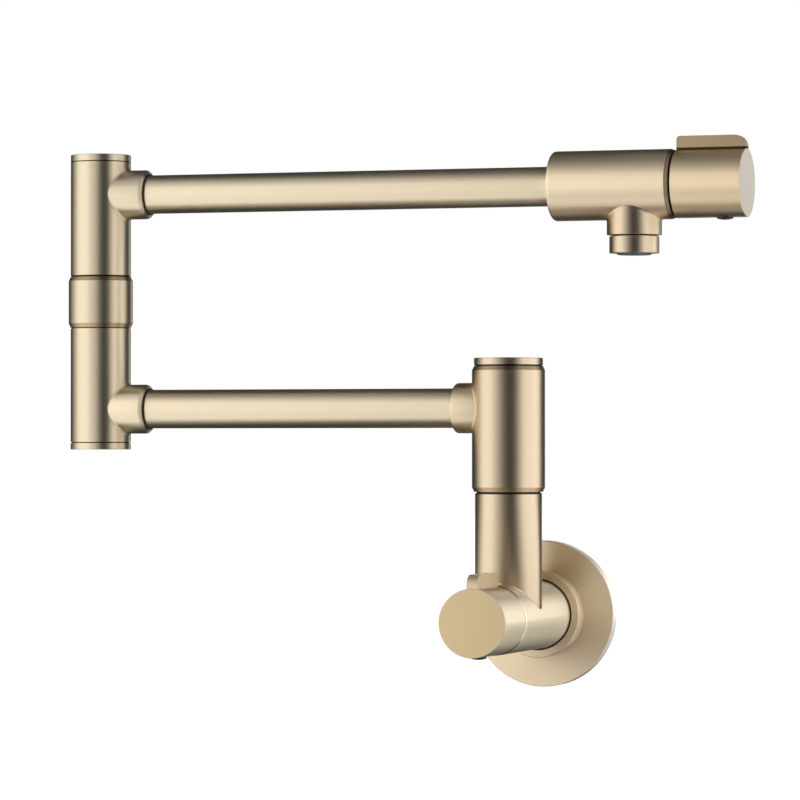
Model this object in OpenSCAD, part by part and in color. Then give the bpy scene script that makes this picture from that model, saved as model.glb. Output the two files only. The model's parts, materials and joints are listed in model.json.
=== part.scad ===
// Wall mounted pot filler: two folding arms, a valve at the wall and a second valve at the spout.
// The origin is the centre of the flange's back face, on the wall. +Y goes into the wall,
// +X is to the right and +Z is up. The arms are drawn folded over each other, along the wall.

/* [Wall flange] */
// Diameter of the flange disc
flange_d = 78.4; // [72:0.2:90]
// Depth of the flange disc, from the wall to its front face
flange_depth = 7.4; // [6:0.1:10]
// Thickness of the flange's front wall
flange_wall = 2.4; // [1.8:0.1:3.2]
// Width of the rim that stands on the wall
flange_rim = 3.2; // [2.2:0.1:5]
// Width of the foam gasket behind the disc
gasket_w = 6; // [3:0.1:7]
// Length of the neck in front of the disc
neck_len = 11.2; // [9:0.1:14]
// Wall thickness of the neck
neck_wall = 4.4; // [3.4:0.1:5.4]
// Gap round the valve body inside the neck
neck_gap = 0.5; // [0.35:0.05:0.7]

/* [Valve bodies] */
// Diameter of both valve bodies
valve_d = 36.4; // [35.8:0.1:40]
// Distance from the wall to the riser's axis
riser_offset = 72; // [62:0.5:90]
// Length of the wall valve in front of the riser's axis
main_front = 28.4; // [28:0.1:38]
// Length of the spout valve beyond the spout's axis
spout_front = 22; // [21.5:0.1:30]
// Length of the spout valve behind the spout's axis
spout_rear = 43.2; // [38:0.1:56]
// Length of the bevel at the handle end of a valve body
valve_bevel_len = 2.1; // [1:0.1:3]
// Depth of the bevel at the handle end of a valve body
valve_bevel = 0.7; // [0.4:0.05:1]
// Radius of the round at the rear end of the spout valve
rear_round = 2; // [1:0.1:3]
// Minor diameter of the half inch thread at the inlet
inlet_d = 18.64; // [17:0.02:20]
// Depth of the inlet thread
inlet_len = 15; // [12:0.5:20]

/* [Riser and shoulder] */
// Diameter of the riser
riser_d = 35; // [31:0.1:35.6]
// Height of the riser's top above the wall valve's axis
riser_top = 65.4; // [56:0.2:90]
// Diameter of the shoulder barrel
shoulder_d = 38.3; // [37:0.1:42]
// Length of the shoulder barrel below the lower arm's axis
shoulder_below = 43.75; // [32:0.25:60]
// Length of the shoulder barrel above the lower arm's axis
shoulder_above = 21.95; // [19:0.05:30]
// Thickness of the washer between the riser and the shoulder barrel
shoulder_washer_t = 0.75; // [0.5:0.05:1.5]
// Diameter of the spindle in the shoulder barrel
shoulder_journal_d = 25.9; // [24:0.1:27]

/* [Arms] */
// Diameter of the arm tubes
tube_d = 20.74; // [19:0.02:22]
// Wall thickness of the arm tubes
tube_wall = 1.5; // [1:0.1:2]
// Distance from the shoulder's axis to the elbow's axis
lower_arm_len = 229.4; // [160:0.2:320]
// Distance from the elbow's axis to the spout's axis
upper_arm_len = 297.3; // [200:0.1:360]
// Wall thickness of the arm sockets
socket_wall = 2.78; // [2.4:0.02:3.2]
// Radius of the round at a socket's end
socket_round = 1.9; // [1:0.1:2.2]
// Distance from the shoulder's axis to its socket's end
shoulder_reach = 28.7; // [26:0.1:36]
// Distance from the elbow's axis to its sockets' ends
elbow_reach = 28.05; // [25:0.05:36]
// Depth of an arm tube in its socket
tube_depth = 9.5; // [6:0.1:10]

/* [Elbow] */
// Diameter of the elbow barrels
elbow_d = 32.4; // [31.5:0.1:36]
// Length of an elbow barrel between its arm and the collar
elbow_long = 43.55; // [34:0.05:60]
// Length of an elbow barrel between its arm and its cap
elbow_short = 17.8; // [16.5:0.1:26]
// Height of the elbow collar
collar_h = 27.8; // [20:0.1:40]
// Thickness of the washer above the collar
elbow_washer_t = 0.45; // [0.4:0.05:1]
// Diameter of the spindle in the elbow
elbow_journal_d = 21.9; // [20:0.1:22.6]

/* [Bevels, seams and caps] */
// Depth of the bevels on the shoulder barrel and the collar
bevel = 1.1; // [0.6:0.05:1.4]
// Height of those bevels
bevel_h = 2.3; // [1:0.1:3]
// Thickness of the shoulder cap
shoulder_cap_t = 3.8; // [3:0.1:6]
// Thickness of the elbow caps
elbow_cap_t = 3.5; // [3:0.1:6]
// Height of the open seams beside the caps and the collar
seam_h = 0.4; // [0.3:0.05:0.8]

/* [Handles] */
// Diameter of the handles
handle_d = 35.5; // [34.5:0.1:39]
// Length of the handles
handle_len = 36.9; // [34:0.1:44]
// Wall thickness of the handles
handle_wall = 2.5; // [2:0.1:3.2]
// Thickness of the handles' front wall
handle_face_t = 3.4; // [2.5:0.1:4]
// Gap between a handle and its valve body
handle_seam = 1; // [0.5:0.05:1.2]
// Thickness of the lever blades
lever_t = 5.6; // [4:0.1:7]
// Height of the lever blades above the handles
lever_h = 6.9; // [5:0.05:9]
// Radius of a lever blade's front corner
lever_front_round = 6.2; // [4:0.1:6.8]
// Radius of a lever blade's rear corner
lever_rear_round = 1.8; // [1:0.1:3]
// Diameter of the plug over the set screw
plug_d = 8.5; // [7:0.1:10]
// Height of the plug above the handle
plug_proud = 1.2; // [0.6:0.1:1.5]
// Distance from a handle's face to its set screw
plug_from_face = 11.7; // [10:0.1:14]

/* [Ceramic cartridges] */
// Diameter of the cartridge housing
cart_d = 24; // [23:0.1:24.6]
// Length of a cartridge inside its valve body
cart_len = 30.5; // [29:0.1:34]
// Thickness of each ceramic disc
disc_t = 3; // [2.4:0.1:3.4]
// Diameter of the stem
stem_d = 8; // [7:0.1:9]

/* [Spout] */
// Diameter of the spout below the valve
skirt_d = 28.5; // [27.6:0.1:32]
// Distance from the valve's axis down to the end of the spout
skirt_drop = 26; // [25:0.1:36]
// Diameter of the aerator
aerator_d = 25.9; // [25.2:0.1:27.2]
// Visible height of the aerator
aerator_h = 8.7; // [6:0.1:12]
// Height of the seam above the aerator
aerator_seam = 0.7; // [0.4:0.05:1.2]
// Diameter of the aerator insert
insert_d = 18.5; // [17:0.1:19]
// Height of the insert below the aerator
insert_proud = 0.9; // [0.8:0.1:2]

/* [Hidden] */
$fn = 96;

// Colours
gold = [0.82, 0.72, 0.56];
raw_brass = [0.78, 0.64, 0.34];
steel = [0.72, 0.73, 0.75];
black_rubber = [0.08, 0.08, 0.09];
white_plastic = [0.90, 0.90, 0.88];
alumina = [0.94, 0.93, 0.90];
slate_plastic = [0.30, 0.36, 0.42];

// Clearances and overruns
overrun = 1;
run_fit = 0.05;
thread_fit = 0.05;
solder_fit = 0.03;
loose_fit = 0.3;
edge_break = 0.3;
arc_steps = 8;

// Radii of the main pieces
flange_r = flange_d / 2;
valve_r = valve_d / 2;
riser_r = riser_d / 2;
shoulder_r = shoulder_d / 2;
elbow_r = elbow_d / 2;
tube_r = tube_d / 2;
tube_bore_r = tube_r - tube_wall;
socket_r = tube_r + socket_wall;
handle_r = handle_d / 2;
skirt_r = skirt_d / 2;
collar_r = elbow_r + bevel;
shoulder_cap_r = shoulder_r - bevel;

// Seams: each is an open groove of this depth
seam_depth = 0.8;

// Swivel joints: washers, retaining ring and cap above the ledge that holds the barrel down
barrel_top_wall = 3.2;
top_washer_t = 0.8;
ring_t = 1;
ring_groove = 1.1;
ring_gap_angle = 40;
spindle_tip = 0.8;
tip_gap = 0.4;
cap_plug = 1.8;
bottom_cap_plug = 4;
ledge_depth = top_washer_t + ring_t + spindle_tip + tip_gap + cap_plug;
port_r = 6;
waist_half = port_r + edge_break;
waist_depth = 3;
spindle_wall = 5.5;
spindle_port_r = 3;
spindle_ports = 4;
foot_step = 1;
foot_len = 16;
shoulder_journal_r = shoulder_journal_d / 2;
elbow_journal_r = elbow_journal_d / 2;

// O-rings on the spindles
o_ring_section = 0.95;
o_ring_groove_depth = 1.95;
o_ring_groove_w = 2.4;
o_ring_first = waist_half + edge_break * 3 + o_ring_groove_w / 2;
o_ring_pitch = 3.7;

// Heights, from the wall valve's axis
shoulder_bottom = riser_top + shoulder_washer_t;
lower_z = shoulder_bottom + shoulder_below;
shoulder_end = lower_z + shoulder_above;
elbow_seat = lower_z + elbow_long;
collar_top = elbow_seat + collar_h;
upper_bottom = collar_top + elbow_washer_t;
upper_z = upper_bottom + elbow_long;
upper_end = upper_z + elbow_short;
lower_end = lower_z - elbow_short;
shoulder_ledge = shoulder_end - ledge_depth;
elbow_ledge = upper_end - ledge_depth;
collar_lip = 5;
collar_thread_step = 1.5;
chamber_step = 1;

// Seals where the tubes leave the elbow sockets
seal_t = 0.55;
seal_in = 1;
seal_out = 1.1;

// Cartridge, along the valve axis from the body's front face, which is 0; inward is negative
cavity_gap = 0.4;
cavity_r = cart_d / 2 + cavity_gap;
mouth_step = 1.25;
mouth_r = cavity_r + mouth_step;
seat_step = 2;
nut_h = 6.4;
nut_recess = 0.6;
cart_flange_t = 2;
cart_base_seal_t = 1.8;
cart_wall = 1.8;
cart_r = cart_d / 2;
chamber_r = cart_r - cart_wall;
stem_r = stem_d / 2;
neck_r = stem_r * 2;
neck_out = 5;
driver_t = 2.5;
driver_play = 0.1;
driver_w = 6;
lug_r = 1.2;
lug_h = 1.5;
disc_hole_r = 2.5;
window_w = 9;
outlet_r = 6.5;
inlet_bore_r = 7;
outlet_from = sqrt(cavity_r * cavity_r - outlet_r * outlet_r) - cavity_gap / 2;
cart_base = -cart_len + cart_base_seal_t;
fixed_disc_top = cart_base + disc_t;
moving_disc_top = fixed_disc_top + disc_t;
driver_top = moving_disc_top + driver_t;
chamber_top = driver_top + driver_play;
disc_hole_at = chamber_r / 2;
lug_at = chamber_r - lug_r * 3;
stem_o_ring_section = 0.48;
stem_o_ring_groove = 1;
stem_o_ring_w = 1.3;
stem_o_ring_at = -12;
tool_slot_w = 3;

// Handle, along the same axis
handle_front = handle_seam + handle_len;
face_inner = handle_front - handle_face_t;
screw_at = handle_front - plug_from_face;
screw_r = 2.5;
screw_len = 5.2;
screw_key_r = 1.45;
screw_key_depth = 2;
screw_groove = 0.5;
screw_groove_w = 6.4;
stem_past_screw = 3.8;
stem_top = screw_at + stem_past_screw;
spline_from = 9;
spline_teeth = 20;
spline_depth = 0.4;
spline_r = stem_r - spline_depth / 2;
screw_end_r = spline_r - spline_depth - screw_groove;
hub_r = 8.4;
hub_from = spline_from + overrun;
plug_head_step = 0.8;
plug_neck_r = plug_d / 2 - plug_head_step;
plug_depth = 3;
plug_dome_share = 0.6;
lever_setback = 0.1;
lever_root = 1;
lever_root_inset = 2;

// Wall valve
body_inset = 0.5;
main_rear = riser_offset - body_inset;
flange_groove_w = 2.2;
flange_o_ring_section = 0.86;
flange_groove_from_face = 3;
gasket_recess = 0.2;

// Spout
aerator_r = aerator_d / 2;
aerator_thread_r = aerator_r - overrun;
aerator_thread_len = 7.5;
aerator_washer_t = 1.5;
aerator_lip = 1.2;
aerator_undercut = 1.2;
washer_seat = skirt_drop - aerator_thread_len - aerator_washer_t;
insert_r = insert_d / 2;
insert_hole_r = 0.85;
insert_hole_pitch = 2.75;
insert_hole_depth = 3;
insert_rings = 2;
insert_groove_w = 0.7;

// Points of a quarter round of radius rad about a centre, from one angle to another
function arc_points(centre, rad, from, to) =
    [for (i = [0 : arc_steps]) let (a = from + (to - from) * i / arc_steps)
        [centre[0] + rad * cos(a), centre[1] + rad * sin(a)]];

// A turned piece: the outline is a list of [radius, height] points
module turned(outline) {
    rotate_extrude() polygon(outline);
}

// A straight hole or rod from one height to another
module rod(r, from, to) {
    translate([0, 0, from]) cylinder(r = r, h = to - from);
}

// A ring of rectangular section
module ring(outer, inner, from, to) {
    turned([[inner, from], [outer, from], [outer, to], [inner, to]]);
}

// An O-ring of a given section radius, touching a given outer radius
module o_ring(outer, section, z) {
    translate([0, 0, z]) rotate_extrude() translate([outer - section, 0]) circle(r = section);
}

// Frames of the moving assemblies
module at_main_valve() {
    translate([0, -riser_offset, 0]) rotate([90, 0, 0]) children();
}

module at_main_face() {
    at_main_valve() translate([0, 0, main_front]) children();
}

module at_shoulder() {
    translate([0, -riser_offset, 0]) children();
}

module at_elbow() {
    translate([-lower_arm_len, -riser_offset, 0]) children();
}

module at_spout() {
    translate([upper_arm_len - lower_arm_len, -riser_offset, upper_z]) children();
}

module at_spout_valve() {
    at_spout() rotate([90, 0, 90]) children();
}

module at_spout_face() {
    at_spout_valve() translate([0, 0, spout_front]) children();
}

// Wall flange: a hollow disc with a raised neck, slid over the valve body
module wall_flange() {
    bore = valve_r + neck_gap;
    neck_r_out = bore + neck_wall;
    face = flange_depth;
    front = flange_depth + neck_len;
    rim_in = flange_r - flange_rim;
    groove_from = front - flange_groove_from_face - flange_groove_w;
    groove_r = valve_r + flange_o_ring_section * 2 + run_fit;
    color(gold) rotate([90, 0, 0]) turned([
        [bore, face - flange_wall], [rim_in, face - flange_wall], [rim_in, 0],
        [flange_r, 0], [flange_r, face - edge_break], [flange_r - edge_break, face],
        [neck_r_out, face], [neck_r_out, front - edge_break], [neck_r_out - edge_break, front],
        [bore + edge_break, front], [bore, front - edge_break],
        [bore, groove_from + flange_groove_w], [groove_r, groove_from + flange_groove_w],
        [groove_r, groove_from], [bore, groove_from],
    ]);
}

// Foam gasket in the hollow behind the disc
module flange_gasket() {
    outer = flange_r - flange_rim - run_fit;
    color(black_rubber) rotate([90, 0, 0])
        ring(outer, outer - gasket_w, gasket_recess, flange_depth - flange_wall);
}

// O-ring that grips the valve body inside the neck
module flange_o_ring() {
    middle = flange_depth + neck_len - flange_groove_from_face - flange_groove_w / 2;
    outer = valve_r + flange_o_ring_section * 2 + run_fit / 2;
    color(black_rubber) rotate([90, 0, 0]) o_ring(outer, flange_o_ring_section, middle);
}

// Seat, cavity and thread for a cartridge, cut from the front face inward
module cartridge_cavity() {
    rod(cavity_r, -cart_len, overrun);
    rod(mouth_r, -nut_recess - nut_h - cart_flange_t, overrun);
}

// Wall valve body with its riser: the riser meets the body in a pointed saddle
module main_valve_body() {
    color(gold) difference() {
        union() {
            at_main_valve() turned([
                [0, -main_rear], [valve_r - edge_break, -main_rear],
                [valve_r, -main_rear + edge_break], [valve_r, main_front - valve_bevel_len],
                [valve_r - valve_bevel, main_front], [0, main_front],
            ]);
            at_shoulder() turned([
                [0, 0], [riser_r, 0], [riser_r, riser_top - edge_break * 2],
                [riser_r - edge_break, riser_top], [0, riser_top],
            ]);
        }
        at_main_face() cartridge_cavity();
        at_main_valve() rod(inlet_bore_r, -main_rear, main_front - cart_len + overrun);
        at_main_valve() rod(inlet_d / 2, -main_rear - overrun, -main_rear + inlet_len);
        at_shoulder() rod(outlet_r, outlet_from, riser_top);
        at_shoulder() rod(shoulder_journal_r - foot_step + thread_fit,
                          riser_top - foot_len, riser_top + overrun);
    }
}

// Cartridge housing: chamber for the discs, side windows, seat flange and stem neck
module cartridge_housing() {
    flange_bottom = -nut_recess - nut_h - cart_flange_t;
    color(raw_brass) difference() {
        turned([
            [chamber_r, cart_base], [cart_r, cart_base], [cart_r, flange_bottom],
            [mouth_r - run_fit, flange_bottom],
            [mouth_r - run_fit, flange_bottom + cart_flange_t],
            [neck_r, flange_bottom + cart_flange_t], [neck_r, neck_out],
            [stem_r + run_fit, neck_out], [stem_r + run_fit, chamber_top], [chamber_r, chamber_top],
        ]);
        for (side = [-1, 1])
            translate([-window_w / 2, side * (cart_r + chamber_r) / 2 - cart_wall, fixed_disc_top])
                cube([window_w, cart_wall * 2, chamber_top - fixed_disc_top]);
    }
}

module main_cartridge_housing() {
    at_main_face() cartridge_housing();
}

module spout_cartridge_housing() {
    at_spout_face() cartridge_housing();
}

// Rubber seal between the cartridge and its seat
module cartridge_seal() {
    color(black_rubber) ring(cart_r - run_fit, chamber_r - cart_wall, -cart_len, cart_base);
}

module main_cartridge_seal() {
    at_main_face() cartridge_seal();
}

module spout_cartridge_seal() {
    at_spout_face() cartridge_seal();
}

// Ceramic disc that stays still: water enters through its two holes
module fixed_disc() {
    color(alumina) difference() {
        rod(chamber_r - run_fit, cart_base, fixed_disc_top);
        for (side = [-1, 1])
            translate([side * disc_hole_at, 0, 0])
                rod(disc_hole_r, cart_base - overrun, fixed_disc_top + overrun);
    }
}

module main_fixed_disc() {
    at_main_face() fixed_disc();
}

module spout_fixed_disc() {
    at_spout_face() fixed_disc();
}

// Ceramic disc that the stem turns: its holes stand crosswise while the valve is shut
module moving_disc() {
    color(alumina) difference() {
        rod(chamber_r - loose_fit, fixed_disc_top, moving_disc_top);
        for (side = [-1, 1]) {
            translate([0, side * disc_hole_at, 0])
                rod(disc_hole_r, fixed_disc_top - overrun, moving_disc_top + overrun);
            translate([side * lug_at, 0, 0])
                rod(lug_r + run_fit, moving_disc_top - lug_h - run_fit, moving_disc_top + overrun);
        }
    }
}

module main_moving_disc() {
    at_main_face() moving_disc();
}

module spout_moving_disc() {
    at_spout_face() moving_disc();
}

// Outline of the splined end of a stem, with its crests at one radius and its roots at another
module spline_outline(crest) {
    count = spline_teeth * 2;
    polygon([for (i = [0 : count - 1]) let (r = crest - (i % 2) * spline_depth, a = i * 360 / count)
        [r * cos(a), r * sin(a)]]);
}

// Stem: driver bar with two lugs below, round shaft, splined top with a groove for the set screw
module stem() {
    color(raw_brass) union() {
        intersection() {
            rod(chamber_r - loose_fit * 2, moving_disc_top, driver_top);
            translate([-chamber_r, -driver_w / 2, moving_disc_top])
                cube([chamber_r * 2, driver_w, driver_t]);
        }
        for (side = [-1, 1])
            translate([side * lug_at, 0, 0])
                rod(lug_r, moving_disc_top - lug_h, driver_top - driver_t / 2);
        difference() {
            rod(stem_r, driver_top - driver_t / 2, spline_from);
            ring(stem_r + overrun, stem_r - stem_o_ring_groove,
                 stem_o_ring_at - stem_o_ring_w / 2, stem_o_ring_at + stem_o_ring_w / 2);
        }
        difference() {
            translate([0, 0, spline_from])
                linear_extrude(height = stem_top - spline_from) spline_outline(spline_r);
            ring(stem_r + overrun, screw_end_r,
                 screw_at - screw_groove_w / 2, screw_at + screw_groove_w / 2);
        }
    }
}

module main_stem() {
    at_main_face() stem();
}

module spout_stem() {
    at_spout_face() stem();
}

// O-ring on the stem
module stem_o_ring() {
    color(black_rubber) o_ring(stem_r - run_fit / 2, stem_o_ring_section, stem_o_ring_at);
}

module main_stem_o_ring() {
    at_main_face() stem_o_ring();
}

module spout_stem_o_ring() {
    at_spout_face() stem_o_ring();
}

// Threaded ring that holds the cartridge down, with four tool slots
module cartridge_nut() {
    top = -nut_recess;
    bottom = top - nut_h;
    color(raw_brass) difference() {
        ring(mouth_r - thread_fit, neck_r + loose_fit, bottom, top);
        for (turn = [0, 90])
            rotate([0, 0, turn]) translate([-mouth_r, -tool_slot_w / 2, top - tool_slot_w / 2])
                cube([mouth_r * 2, tool_slot_w, tool_slot_w]);
    }
}

module main_cartridge_nut() {
    at_main_face() cartridge_nut();
}

module spout_cartridge_nut() {
    at_spout_face() cartridge_nut();
}

// Root of a lever blade, or the slot for it when grown by a clearance
module lever_root_block(grow) {
    translate([-lever_t / 2 - grow, handle_r - lever_root - grow,
               handle_seam + lever_root_inset - grow])
        cube([lever_t + grow * 2, lever_root + overrun + grow,
              handle_len - lever_root_inset * 2 + grow * 2]);
}

// Handle shell: a cup with a splined hub, a slot for the lever and a hole for the set screw
module handle_shell() {
    inner = handle_r - handle_wall;
    rear = handle_seam;
    color(gold) difference() {
        union() {
            turned([
                [inner, rear], [handle_r - edge_break, rear], [handle_r, rear + edge_break],
                [handle_r, handle_front - edge_break], [handle_r - edge_break, handle_front],
                [0, handle_front], [0, face_inner], [inner, face_inner],
            ]);
            rod(hub_r, hub_from, face_inner + handle_face_t / 2);
        }
        translate([0, 0, hub_from - overrun])
            linear_extrude(height = stem_top + loose_fit - hub_from + overrun)
                spline_outline(spline_r + run_fit);
        translate([0, 0, screw_at]) rotate([90, 0, 0]) rod(screw_r, 0, hub_r + overrun);
        translate([0, 0, screw_at]) rotate([90, 0, 0])
            rod(plug_neck_r + run_fit, hub_r + overrun, handle_r + overrun);
        lever_root_block(run_fit);
    }
}

module main_handle_shell() {
    at_main_face() handle_shell();
}

module spout_handle_shell() {
    at_spout_face() handle_shell();
}

// Lever blade: a flat bar with a large front corner, let into the handle by its root
module handle_lever() {
    from = handle_seam + lever_setback;
    top = handle_r + lever_h;
    low = handle_r - lever_root;
    rear = arc_points([from + lever_rear_round, top - lever_rear_round],
                      lever_rear_round, 180, 90);
    front = arc_points([handle_front - lever_front_round, top - lever_front_round],
                       lever_front_round, 90, 0);
    color(gold) union() {
        difference() {
            translate([-lever_t / 2, 0, 0]) rotate([90, 0, 90])
                linear_extrude(height = lever_t)
                    polygon([for (p = concat([[from, low]], rear, front, [[handle_front, low]]))
                        [p[1], p[0]]]);
            rod(handle_r, 0, handle_front + overrun);
        }
        lever_root_block(0);
    }
}

module main_handle_lever() {
    at_main_face() handle_lever();
}

module spout_handle_lever() {
    at_spout_face() handle_lever();
}

// Plug that covers the set screw: a domed head and a neck in the handle's wall
module handle_plug() {
    head = plug_d / 2;
    dome_h = plug_proud * plug_dome_share;
    dome_r = (head * head + dome_h * dome_h) / dome_h / 2;
    dome = arc_points([0, handle_r + plug_proud - dome_r], dome_r, acos(head / dome_r), 90);
    color(black_rubber) translate([0, 0, screw_at]) rotate([90, 0, 0]) difference() {
        turned(concat([
            [0, handle_r - plug_depth], [plug_neck_r, handle_r - plug_depth],
            [plug_neck_r, handle_r - plug_proud], [head, handle_r - plug_proud],
        ], dome));
        plug_seat();
    }
}

// Room that the plug's head leaves for the handle's curved wall
module plug_seat() {
    rotate([-90, 0, 0]) difference() {
        rod(handle_r, -plug_d, plug_d);
        rotate([90, 0, 0]) rod(plug_neck_r, 0, handle_r + overrun);
    }
}

module main_handle_plug() {
    at_main_face() handle_plug();
}

module spout_handle_plug() {
    at_spout_face() handle_plug();
}

// Set screw with a hexagon socket
module set_screw() {
    head = screw_end_r + screw_len;
    color(steel) translate([0, 0, screw_at]) rotate([90, 0, 0]) difference() {
        rod(screw_r - thread_fit, screw_end_r, head);
        translate([0, 0, head - screw_key_depth])
            cylinder(r = screw_key_r, h = screw_key_depth + overrun, $fn = 6);
    }
}

module main_set_screw() {
    at_main_face() set_screw();
}

module spout_set_screw() {
    at_spout_face() set_screw();
}

// Swivel spindle: a threaded foot, a journal with O-ring grooves, and a waist with water ports
module swivel_spindle(journal_r, seat, axis_z, ledge) {
    bore_r = journal_r - spindle_wall;
    ring_from = ledge + top_washer_t;
    top = ring_from + ring_t + spindle_tip;
    difference() {
        union() {
            rod(journal_r - foot_step, seat - foot_len, seat + overrun);
            rod(journal_r, seat, top);
        }
        rod(bore_r, seat - foot_len - overrun, axis_z + waist_half);
        ring(journal_r + overrun, journal_r - waist_depth, axis_z - waist_half, axis_z + waist_half);
        for (z = o_ring_heights(axis_z))
            ring(journal_r + overrun, journal_r - o_ring_groove_depth,
                 z - o_ring_groove_w / 2, z + o_ring_groove_w / 2);
        ring(journal_r + overrun, journal_r - ring_groove, ring_from, ring_from + ring_t);
        for (i = [0 : spindle_ports - 1])
            translate([0, 0, axis_z]) rotate([0, 0, i * 360 / spindle_ports]) rotate([0, 90, 0])
                rod(spindle_port_r, 0, journal_r);
    }
}

// Heights of a spindle's O-rings: one above its ports and two below
function o_ring_heights(axis_z) =
    [axis_z + o_ring_first, axis_z - o_ring_first, axis_z - o_ring_first - o_ring_pitch];

module spindle_o_rings(journal_r, axis_z) {
    for (z = o_ring_heights(axis_z))
        o_ring(journal_r - run_fit / 2, o_ring_section, z);
}

// Retaining ring: an open ring sprung into the spindle's groove
module retaining_ring(journal_r, barrel_r, ledge) {
    outer = barrel_r - barrel_top_wall - loose_fit * 2;
    from = ledge + top_washer_t;
    difference() {
        ring(outer, journal_r - ring_groove + run_fit, from, from + ring_t);
        translate([0, 0, from - overrun]) linear_extrude(height = ring_t + overrun * 2)
            polygon([[0, 0],
                     [barrel_r * cos(ring_gap_angle / 2), -barrel_r * sin(ring_gap_angle / 2)],
                     [barrel_r * cos(ring_gap_angle / 2), barrel_r * sin(ring_gap_angle / 2)]]);
    }
}

// Washer under the retaining ring
module top_washer(journal_r, barrel_r, ledge) {
    ring(barrel_r - barrel_top_wall - loose_fit, journal_r + run_fit, ledge, ledge + top_washer_t);
}

module shoulder_spindle() {
    color(raw_brass) at_shoulder()
        swivel_spindle(shoulder_journal_r, riser_top, lower_z, shoulder_ledge);
}

module shoulder_o_rings() {
    color(black_rubber) at_shoulder() spindle_o_rings(shoulder_journal_r, lower_z);
}

// Slide washer between the riser and the shoulder barrel, set back to leave an open seam
module shoulder_thrust_washer() {
    color(black_rubber) at_shoulder()
        ring(riser_r - seam_depth, shoulder_journal_r + run_fit, riser_top, shoulder_bottom);
}

module shoulder_top_washer() {
    color(white_plastic) at_shoulder()
        top_washer(shoulder_journal_r, shoulder_r, shoulder_ledge);
}

module shoulder_retaining_ring() {
    color(steel) at_shoulder()
        retaining_ring(shoulder_journal_r, shoulder_r, shoulder_ledge);
}

// Arm socket along +Z of its own frame, rounded at its open end
module socket_outside(reach) {
    turned(concat([[0, 0], [socket_r, 0]],
                  arc_points([socket_r - socket_round, reach - socket_round], socket_round, 0, 90),
                  [[0, reach]]));
}

// Holes of an arm socket: the water port and the seat of the tube
module socket_holes(reach) {
    rod(port_r, 0, reach);
    rod(tube_r + solder_fit, reach - tube_depth, reach + overrun);
}

// Wider mouth of a socket, for the seal that shows round the tube
module seal_recess(reach) {
    rod(tube_r + seal_t + solder_fit, reach - seal_in, reach + overrun);
}

// Barrel that turns on a spindle: plain bore, ledge for the washer, thread for the cap
module swivel_barrel_holes(barrel_r, journal_r, bottom, ledge, top) {
    rod(journal_r + run_fit, bottom - overrun, ledge + overrun);
    rod(barrel_r - barrel_top_wall, ledge, top + overrun);
}

// Shoulder barrel, bevelled at both ends, with the lower arm's socket
module shoulder_barrel() {
    color(gold) at_shoulder() difference() {
        union() {
            turned([
                [0, shoulder_bottom], [shoulder_r - bevel, shoulder_bottom],
                [shoulder_r, shoulder_bottom + bevel_h], [shoulder_r, shoulder_end - bevel_h],
                [shoulder_r - bevel, shoulder_end], [0, shoulder_end],
            ]);
            translate([0, 0, lower_z]) rotate([0, -90, 0]) socket_outside(shoulder_reach);
        }
        swivel_barrel_holes(shoulder_r, shoulder_journal_r, shoulder_bottom, shoulder_ledge,
                            shoulder_end);
        translate([0, 0, lower_z]) rotate([0, -90, 0]) socket_holes(shoulder_reach);
    }
}

// Cap above a barrel: a disc, a narrower neck that leaves the seam, and a threaded plug
module barrel_cap(cap_r, barrel_r, thickness, plug_len) {
    plug_r = barrel_r - barrel_top_wall - thread_fit;
    turned([
        [0, -plug_len], [plug_r, -plug_len], [plug_r, 0], [cap_r - seam_depth, 0],
        [cap_r - seam_depth, seam_h], [cap_r, seam_h], [cap_r, seam_h + thickness - edge_break],
        [cap_r - edge_break, seam_h + thickness], [0, seam_h + thickness],
    ]);
}

module shoulder_cap() {
    color(gold) at_shoulder() translate([0, 0, shoulder_end])
        barrel_cap(shoulder_cap_r, shoulder_r, shoulder_cap_t, cap_plug);
}

// Arm tube between two ends
module arm_tube(from_x, to_x, z) {
    color(gold) translate([from_x, -riser_offset, z]) rotate([0, 90, 0])
        ring(tube_r, tube_bore_r, 0, to_x - from_x);
}

module lower_arm_tube() {
    arm_tube(-lower_arm_len + elbow_reach - tube_depth, -shoulder_reach + tube_depth, lower_z);
}

// Seal ring in the mouth of an elbow socket
module tube_seal(z) {
    color(black_rubber) translate([-lower_arm_len + elbow_reach, -riser_offset, z])
        rotate([0, 90, 0]) ring(tube_r + seal_t, tube_r + solder_fit, -seal_in, seal_out);
}

module lower_tube_seal() {
    tube_seal(lower_z);
}

module upper_tube_seal() {
    tube_seal(upper_z);
}

// Lower elbow barrel: closed below by a cap, with the spindle's foot screwed in above
module elbow_lower_barrel() {
    foot_hole_r = elbow_journal_r - foot_step + thread_fit;
    color(gold) at_elbow() difference() {
        union() {
            rod(elbow_r, lower_end, elbow_seat);
            translate([0, 0, lower_z]) rotate([0, 90, 0]) socket_outside(elbow_reach);
        }
        rod(foot_hole_r, elbow_seat - foot_len, elbow_seat + overrun);
        rod(foot_hole_r - chamber_step, lower_end, elbow_seat);
        rod(elbow_r - barrel_top_wall, lower_end - overrun, lower_end + bottom_cap_plug);
        translate([0, 0, lower_z]) rotate([0, 90, 0]) {
            socket_holes(elbow_reach);
            seal_recess(elbow_reach);
        }
    }
}

module elbow_bottom_cap() {
    color(gold) at_elbow() translate([0, 0, lower_end]) mirror([0, 0, 1])
        barrel_cap(elbow_r, elbow_r, elbow_cap_t, bottom_cap_plug);
}

// Elbow spindle: as the shoulder's, with a wide thread for the collar
module elbow_spindle() {
    thread_r = elbow_journal_r + collar_thread_step;
    color(raw_brass) at_elbow() union() {
        swivel_spindle(elbow_journal_r, elbow_seat, upper_z, elbow_ledge);
        ring(thread_r, elbow_journal_r - foot_step, elbow_seat, collar_top - collar_lip);
    }
}

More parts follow.
